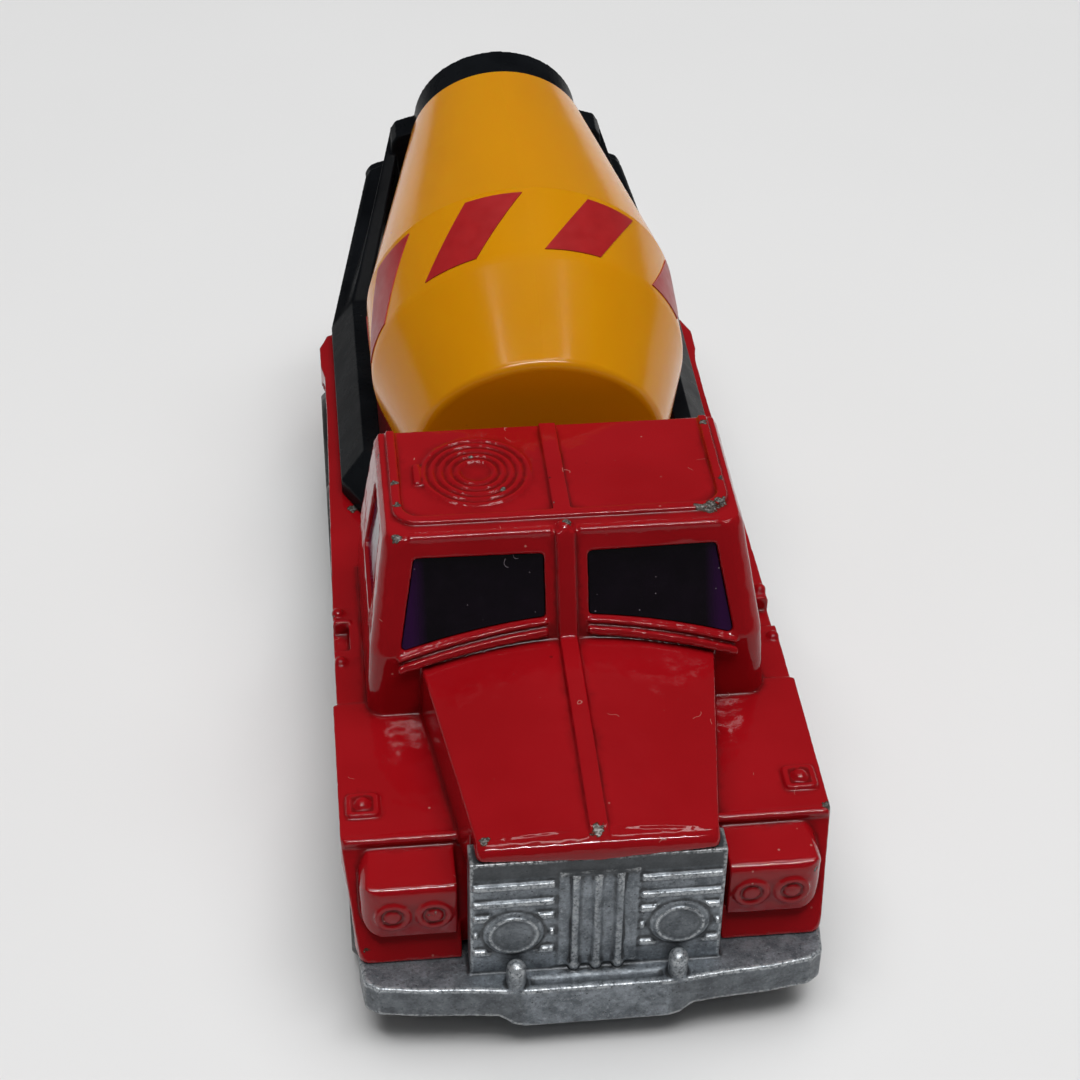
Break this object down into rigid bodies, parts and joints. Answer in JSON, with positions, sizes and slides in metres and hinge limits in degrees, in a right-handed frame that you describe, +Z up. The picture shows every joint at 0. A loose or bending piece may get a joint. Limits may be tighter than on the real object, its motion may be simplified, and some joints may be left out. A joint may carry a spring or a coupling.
{
  "type": "toy cement mixer truck",
  "caption": "Pocket-size die-cast toy cement mixer truck with a tilted drum that turns in a black holder and free-rolling wheels.",
  "frame": {"origin": "on the ground, under the middle of the overall box", "axes": "+Y from the bumper towards the chute, +X to the right seen from the front of the truck looking rearwards, +Z up"},
  "size_m": [0.0298, 0.0764, 0.0323],
  "materials": {
    "red_paint": "gloss",
    "bare_zinc": "cast, satin",
    "tinted_window": "gloss",
    "black_plastic": "satin",
    "drum_plastic": "gloss",
    "stripe_red": "satin",
    "axle_wire": "drawn wire",
    "wheel_plastic": "satin"
  },
  "bodies": {
    "chassis": {"body_casting": "red_paint", "base_casting": "bare_zinc", "window_glazing": "tinted_window", "drum_holder": "black_plastic", "axle_front": "axle_wire", "axle_middle": "axle_wire", "axle_rear": "axle_wire"},
    "drum": {"drum_front_shell": "drum_plastic", "drum_rear_shell": "drum_plastic", "stripe_label_1": "stripe_red", "stripe_label_2": "stripe_red", "stripe_label_3": "stripe_red", "stripe_label_4": "stripe_red", "stripe_label_5": "stripe_red", "stripe_label_6": "stripe_red", "stripe_label_7": "stripe_red", "stripe_label_8": "stripe_red"},
    "wheel_front_left": {"wheel_front_left": "wheel_plastic"},
    "wheel_front_right": {"wheel_front_right": "wheel_plastic"},
    "wheel_middle_left": {"wheel_middle_left": "wheel_plastic"},
    "wheel_middle_right": {"wheel_middle_right": "wheel_plastic"},
    "wheel_rear_left": {"wheel_rear_left": "wheel_plastic"},
    "wheel_rear_right": {"wheel_rear_right": "wheel_plastic"}
  },
  "joints": [
    {"name": "drum_spin", "type": "hinge", "parent": "chassis", "child": "drum", "pos_m": [0, -0.00245, 0.01862], "axis": [0, 0.9803, 0.1977], "continuous": true},
    {"name": "wheel_front_left_spin", "type": "hinge", "parent": "chassis", "child": "wheel_front_left", "pos_m": [-0.0129, -0.02775, 0.0052], "axis": [1, 0, 0], "continuous": true},
    {"name": "wheel_front_right_spin", "type": "hinge", "parent": "chassis", "child": "wheel_front_right", "pos_m": [0.0129, -0.02775, 0.0052], "axis": [1, 0, 0], "continuous": true},
    {"name": "wheel_middle_left_spin", "type": "hinge", "parent": "chassis", "child": "wheel_middle_left", "pos_m": [-0.0129, 0.00465, 0.0052], "axis": [1, 0, 0], "continuous": true},
    {"name": "wheel_middle_right_spin", "type": "hinge", "parent": "chassis", "child": "wheel_middle_right", "pos_m": [0.0129, 0.00465, 0.0052], "axis": [1, 0, 0], "continuous": true},
    {"name": "wheel_rear_left_spin", "type": "hinge", "parent": "chassis", "child": "wheel_rear_left", "pos_m": [-0.0129, 0.01625, 0.0052], "axis": [1, 0, 0], "continuous": true},
    {"name": "wheel_rear_right_spin", "type": "hinge", "parent": "chassis", "child": "wheel_rear_right", "pos_m": [0.0129, 0.01625, 0.0052], "axis": [1, 0, 0], "continuous": true}
  ]
}
